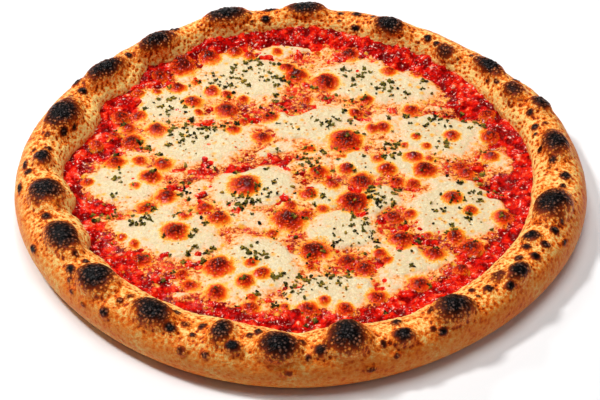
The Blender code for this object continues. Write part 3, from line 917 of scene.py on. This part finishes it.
def crumb_shape(rings, around):
    """A unit crumb of leaf: a flat lens, radius sin(a) and height the half thickness times cos(a)
    for a from 0 at the top to pi at the bottom, with one point at each end."""
    thick = CRUMB_HALF_THICKNESS
    polar = np.linspace(0, math.pi, rings + 2)[1:-1, None]
    turn = np.arange(around) * 2 * math.pi / around
    x, y = np.sin(polar) * np.cos(turn), np.sin(polar) * np.sin(turn)
    ring = np.stack(np.broadcast_arrays(x, y, thick * np.cos(polar)), axis=-1).reshape(-1, 3)
    points = np.concatenate([ring, [[0, 0, thick], [0, 0, -thick]]])
    top, bottom = rings * around, rings * around + 1
    here = np.arange(around)
    after = np.roll(here, -1)
    faces = [np.stack([np.full(around, top), here, after], axis=-1)]
    for step in range(rings - 1):
        a, b = step * around, (step + 1) * around
        faces += [np.stack([here + a, here + b, after + b], axis=-1)]
        faces += [np.stack([here + a, after + b, after + a], axis=-1)]
    last = (rings - 1) * around
    faces += [np.stack([np.full(around, bottom), after + last, here + last], axis=-1)]
    return points, np.concatenate(faces)


def spread_apart(spots, least, rounds):
    """Pushes every two spots nearer than the least distance apart, half of the lack each."""
    for _ in range(rounds):
        gap = spots[:, None] - spots[None]
        away = np.hypot(gap[..., 0], gap[..., 1]) + np.eye(len(spots))
        lack = np.clip(least - away, 0, None) / 2 / away
        spots = spots + np.sum(gap * lack[..., None], axis=1)
    return spots


def herb_mesh(stray, leaf_length, seed):
    """Flakes and crumbs as one mesh: copies of the unit crumb, each stretched, roughened, bent,
    tilted and turned by its own random numbers and set on the topping. A flake is a few leaflets
    that point out from one spot."""
    draw = np.random.default_rng(seed)
    spots = [
        draw.normal((x, y), spread * CLUSTER_TIGHTNESS, (round(count * FLAKE_SHARE), 2)) * MM
        for x, y, spread, count in HERB_CLUSTERS_MM
    ]
    turn, reach = draw.uniform(0, 2 * math.pi, stray), STRAY_REACH * np.sqrt(draw.uniform(0, 1, stray))
    spots.append(np.stack([reach * np.cos(turn), reach * np.sin(turn)], axis=-1))
    spots = spread_apart(np.concatenate(spots), leaf_length * FLAKE_SPACING, SPACING_ROUNDS)
    spots = spots[np.hypot(*spots.T) < HERB_REACH]
    single = draw.uniform(0, 1, len(spots)) < SINGLE_SHARE
    leaflets = np.where(single, 1, draw.integers(FEWEST_LEAFLETS, MOST_LEAFLETS + 1, len(spots)))
    crumb_scale, flake_scale = draw.uniform(0.6, 1.5, len(spots)), draw.uniform(0.65, 1.35, len(spots))
    scale = np.repeat(leaf_length / 2 * np.where(single, crumb_scale, flake_scale), leaflets)
    spots = np.repeat(spots, leaflets, axis=0)
    count = len(spots)
    size = scale * draw.uniform(0.27, 0.44, count)
    spin = draw.uniform(0, 2 * math.pi, count)
    out = scale * draw.uniform(0.12, 0.62, count)
    spots = spots + np.stack([np.cos(spin), np.sin(spin)], axis=-1) * out[:, None]
    shape, faces = crumb_shape(CRUMB_RINGS, CRUMB_SIDES)
    width, height = draw.uniform(0.45, 0.9, count), draw.uniform(0.8, 1.6, count)
    stretch = np.stack([np.ones(count), width, height], axis=-1)
    rough = 1 + draw.normal(0, CRUMB_ROUGHNESS, (count, len(shape), 1))
    points = shape * stretch[:, None, :] * rough * size[:, None, None]
    bend = draw.uniform(-0.5, 0.5, (count, 1)) / size[:, None]
    points[..., 2] += bend * points[..., 0] ** 2
    points = turned(points, draw.normal(0, CRUMB_TILT, count), 1, 2)
    points = turned(points, draw.normal(0, CRUMB_TILT, count), 2, 0)
    points = turned(points, spin, 0, 1)
    sauce, cheese, *_ = topping_fields(*spots.T)
    ground = np.maximum(sauce, cheese) + 0.4 * size
    points += np.stack([spots[:, 0], spots[:, 1], ground], axis=-1)[:, None, :]
    tone = np.repeat(draw.uniform(0.05, 0.95, count), len(shape))
    offsets = np.arange(count) * len(shape)
    return points.reshape(-1, 3), (faces[None] + offsets[:, None, None]).reshape(-1, 3), tone


def turned(points, angles, first, second):
    """Each copy's points turned in the plane of two axes."""
    c, s = np.cos(angles)[:, None], np.sin(angles)[:, None]
    a, b = points[..., first].copy(), points[..., second].copy()
    points[..., first], points[..., second] = a * c - b * s, a * s + b * c
    return points


# Settings


def colour(name, description, default):
    return FloatVectorProperty(
        name=name, description=description, subtype="COLOR", size=3, min=0.0, max=1.0, default=default
    )


def whole(name, description, default, low, high):
    return IntProperty(name=name, description=description, default=default, min=low, max=high)


def length(name, description, default, low, high):
    return FloatProperty(
        name=name, description=description, unit="LENGTH", subtype="DISTANCE", default=default, min=low,
        max=high, precision=5,
    )


class CrustSettings(bpy.types.PropertyGroup):
    spacing: length("Mesh spacing", "Distance between the crust's mesh points", 0.00077, 0.0004, 0.01)
    pale: colour("Pale dough", "Dough of the walls that the heat reached least", (1.0, 0.40, 0.080))
    gold: colour("Gold", "Evenly baked crust", (1.0, 0.27, 0.025))
    orange: colour("Deep gold", "Well baked crust round the blisters", (0.86, 0.148, 0.009))
    # Partly painted highlight: this palest crust colour stands for the shine on the skin's ridges as well as
    # their paler dough.
    lace_and_highlight: colour("Lace", "Thin pale ridges of the skin", (1.0, 0.68, 0.22))
    char: colour("Char", "Burnt tops of the blisters", (0.004, 0.003, 0.003))


class SauceSettings(bpy.types.PropertyGroup):
    steps: whole("Mesh steps", "Grid steps across the sauce", 300, 20, 312)
    # This deep red is partly painted shade, reached in the hollows between the grains.
    deep: colour("Deep red", "Sauce in its hollows", (0.20, 0.001, 0.001))
    bright: colour("Bright red", "Sauce that stands up", (0.60, 0.003, 0.002))


class CheeseSettings(bpy.types.PropertyGroup):
    steps: whole("Mesh steps", "Grid steps across the cheese", 304, 20, 312)
    radius: length("Radius", "How far from the middle the cheese may run", 0.132, 0.05, 0.134)
    cream: colour("Cream", "Thick melted cheese", (0.72, 0.55, 0.30))
    milk: colour("Milk", "Palest, thickest cheese", (0.78, 0.67, 0.43))


class HerbSettings(bpy.types.PropertyGroup):
    leaf_length: length("Crumb length", "Usual width of a flake", 0.0054, 0.0005, 0.006)
    stray: whole("Stray crumbs", "Crumbs away from the clusters", 260, 0, 2000)
    seed: whole("Seed", "Changes where the crumbs fall", 7, 0, 10000)
    leaf: colour("Leaf", "Dried leaf", (0.095, 0.080, 0.010))


class StageSettings(bpy.types.PropertyGroup):
    floor: colour("Floor", "Plain floor under the pizza", (0.93, 0.93, 0.93))
    key_watts: FloatProperty(
        name="Key light", description="Light from the left", unit="POWER", default=17.5, min=0.0
    )
    fill_strength: FloatProperty(name="Fill", description="Even light from all round", default=0.08, min=0.0)
    elevation: FloatProperty(
        name="Elevation", description="Camera's height angle", unit="ROTATION", subtype="ANGLE",
        default=math.radians(39.8),
    )
    distance: length("Distance", "From the camera to the middle of the pizza", 1.0, 0.3, 5.0)


# Operators


class MESH_OT_pizza_crust(bpy.types.Operator):
    """Makes the baked dough with its rim, blisters and flat underside"""

    bl_idname = "mesh.pizza_crust"
    bl_label = "Crust"

    def execute(self, context):
        settings = context.scene.pizza_crust
        points, quads, triangles, fields, columns, rim_rows = crust_mesh(settings.spacing)
        uv = crust_unwrapping(points, quads, triangles, columns, rim_rows)
        mesh = build_mesh("crust", points, quads, triangles, fields, uv)
        placed("crust", mesh, crust_finish(settings), "crust", "dough")
        return {"FINISHED"}


class MESH_OT_pizza_sauce(bpy.types.Operator):
    """Makes the layer of tomato sauce inside the rim"""

    bl_idname = "mesh.pizza_sauce"
    bl_label = "Sauce"

    def execute(self, context):
        settings = context.scene.pizza_sauce
        disc_x, disc_y = disc_grid(settings.steps)
        clock = clock_of(disc_x, disc_y)
        share = np.hypot(disc_x, disc_y)
        outward = 0.62 * share + 0.38 * share**3
        radius = (inner_wall(clock) + SAUCE_TUCK) * outward / np.maximum(share, 1e-9)
        x, y = disc_x * radius, disc_y * radius
        sauce, *_, grains = topping_fields(x, y)
        points, quads, triangles, uv = disc_body(settings.steps, x, y, sauce, BASE_TOP + SHEET_GAP)
        fields = {"pulp": np.append(grains.ravel(), np.zeros(len(points) - x.size))}
        mesh = build_mesh("tomato_sauce_layer", points, quads, triangles, fields, uv)
        placed("tomato_sauce_layer", mesh, sauce_finish(settings), "sauce", "tomato_sauce")
        return {"FINISHED"}


class MESH_OT_pizza_cheese(bpy.types.Operator):
    """Makes the melted mozzarella with its pools and browned bubbles"""

    bl_idname = "mesh.pizza_cheese"
    bl_label = "Mozzarella"

    def execute(self, context):
        settings = context.scene.pizza_cheese
        disc_x, disc_y = disc_grid(settings.steps)
        x, y = disc_x * settings.radius, disc_y * settings.radius
        _, cheese, rich, brown, grains = topping_fields(x, y)
        underside = BASE_TOP + CHEESE_GAP
        top = np.maximum(cheese, underside + LEAST_SHEET)
        points, quads, triangles, uv = disc_body(settings.steps, x, y, top, underside)
        spare = np.zeros(len(points) - x.size)
        looks = {"rich": rich, "brown": brown, "pulp": grains}
        fields = {name: np.append(look.ravel(), spare) for name, look in looks.items()}
        mesh = build_mesh("melted_mozzarella", points, quads, triangles, fields, uv)
        finish = cheese_finish(settings, context.scene.pizza_sauce)
        placed("melted_mozzarella", mesh, finish, "cheese", *POOL_NODES)
        return {"FINISHED"}


class MESH_OT_pizza_herbs(bpy.types.Operator):
    """Strews dried oregano over the toppings"""

    bl_idname = "mesh.pizza_herbs"
    bl_label = "Oregano"

    def execute(self, context):
        settings = context.scene.pizza_herbs
        points, triangles, tone = herb_mesh(settings.stray, settings.leaf_length, settings.seed)
        mesh = build_mesh("dried_oregano", points, np.empty((0, 4), int), triangles, {"tone": tone}, None)
        placed("dried_oregano", mesh, herb_finish(settings), None)
        return {"FINISHED"}


class SCENE_OT_pizza_stage(bpy.types.Operator):
    """Makes the floor, the lights and the camera"""

    bl_idname = "scene.pizza_stage"
    bl_label = "Stage"

    def execute(self, context):
        settings = context.scene.pizza_stage
        scene = context.scene
        make_floor(settings)
        for light in LIGHTS:
            make_light(settings.key_watts, *light)
        world = bpy.data.worlds.new("soft_room")
        world.use_nodes = True
        room = world.node_tree.nodes["Background"].inputs
        room["Color"].default_value = (1.0, 1.0, 1.0, 1.0)
        room["Strength"].default_value = settings.fill_strength
        scene.world = world
        world.cycles_visibility.glossy = False
        scene.view_settings.view_transform = "Standard"
        scene.camera = make_camera(settings)
        return {"FINISHED"}


def make_floor(settings):
    """A level square under the pizza, a hair below its sole."""
    half, level = FLOOR_HALF_WIDTH, cad_low.z - FLOOR_GAP
    corners = [(-half, -half, level), (half, -half, level), (half, half, level), (-half, half, level)]
    mesh = bpy.data.meshes.new("floor")
    mesh.from_pydata(corners, [], [(0, 1, 2, 3)])
    f = Finish("pale_floor")
    tint = f.ramp(f.noise(0.4), (0.3, [0.985 * c for c in settings.floor]), (0.7, settings.floor))
    mesh.materials.append(f.finished(Base_Color=tint, Roughness=0.9))
    floor = bpy.data.objects.new("floor", mesh)
    bpy.context.scene.collection.objects.link(floor)


def make_light(key_watts, name, place, width, share, mirrored):
    """A round lamp that faces the pizza."""
    data = bpy.data.lights.new(name, "AREA")
    data.shape = "DISK"
    data.size = width
    data.energy = key_watts * share
    light = bpy.data.objects.new(name, data)
    light.visible_glossy = mirrored
    aim(light, place, (0.0, 0.0, 0.0))
    bpy.context.scene.collection.objects.link(light)


def make_camera(settings):
    """A camera on the pizza's near side, at its distance and angle above the target's level."""
    data = bpy.data.cameras.new("camera")
    data.sensor_width = SENSOR_WIDTH
    data.lens = LENS
    camera = bpy.data.objects.new("camera", data)
    back, up = math.cos(settings.elevation), math.sin(settings.elevation)
    place = (0.0, -back * settings.distance, CAMERA_TARGET[2] + up * settings.distance)
    aim(camera, place, CAMERA_TARGET)
    bpy.context.scene.collection.objects.link(camera)
    return camera


def aim(thing, place, target):
    """Puts a lamp or camera at a place, looking at the target."""
    thing.location = place
    thing.rotation_euler = (Vector(target) - Vector(place)).to_track_quat("-Z", "Y").to_euler()


class VIEW3D_PT_pizza(bpy.types.Panel):
    """Sizes, colours and makers of the pizza's pieces"""

    bl_label = "Margherita Pizza"
    bl_idname = "VIEW3D_PT_pizza"
    bl_space_type = "VIEW_3D"
    bl_region_type = "UI"
    bl_category = "Pizza"

    def draw(self, context):
        for operator, group, _ in PIECES:
            box = self.layout.box()
            box.operator(operator.bl_idname)
            settings = getattr(context.scene, group)
            for name in settings.bl_rna.properties.keys():
                if name not in ("rna_type", "name"):
                    box.prop(settings, name)


# Each piece's operator, the name of its settings in the scene, and their class.
PIECES = (
    (MESH_OT_pizza_crust, "pizza_crust", CrustSettings),
    (MESH_OT_pizza_sauce, "pizza_sauce", SauceSettings),
    (MESH_OT_pizza_cheese, "pizza_cheese", CheeseSettings),
    (MESH_OT_pizza_herbs, "pizza_herbs", HerbSettings),
    (SCENE_OT_pizza_stage, "pizza_stage", StageSettings),
)


def register():
    for operator, group, settings in PIECES:
        bpy.utils.register_class(settings)
        setattr(bpy.types.Scene, group, PointerProperty(type=settings))
        bpy.utils.register_class(operator)
    bpy.utils.register_class(VIEW3D_PT_pizza)


def unregister():
    bpy.utils.unregister_class(VIEW3D_PT_pizza)
    for operator, group, settings in reversed(PIECES):
        bpy.utils.unregister_class(operator)
        delattr(bpy.types.Scene, group)
        bpy.utils.unregister_class(settings)


def main():
    register()
    bpy.ops.mesh.pizza_crust()
    bpy.ops.mesh.pizza_sauce()
    bpy.ops.mesh.pizza_cheese()
    bpy.ops.mesh.pizza_herbs()
    bpy.ops.scene.pizza_stage()


if __name__ == "__main__":
    main()
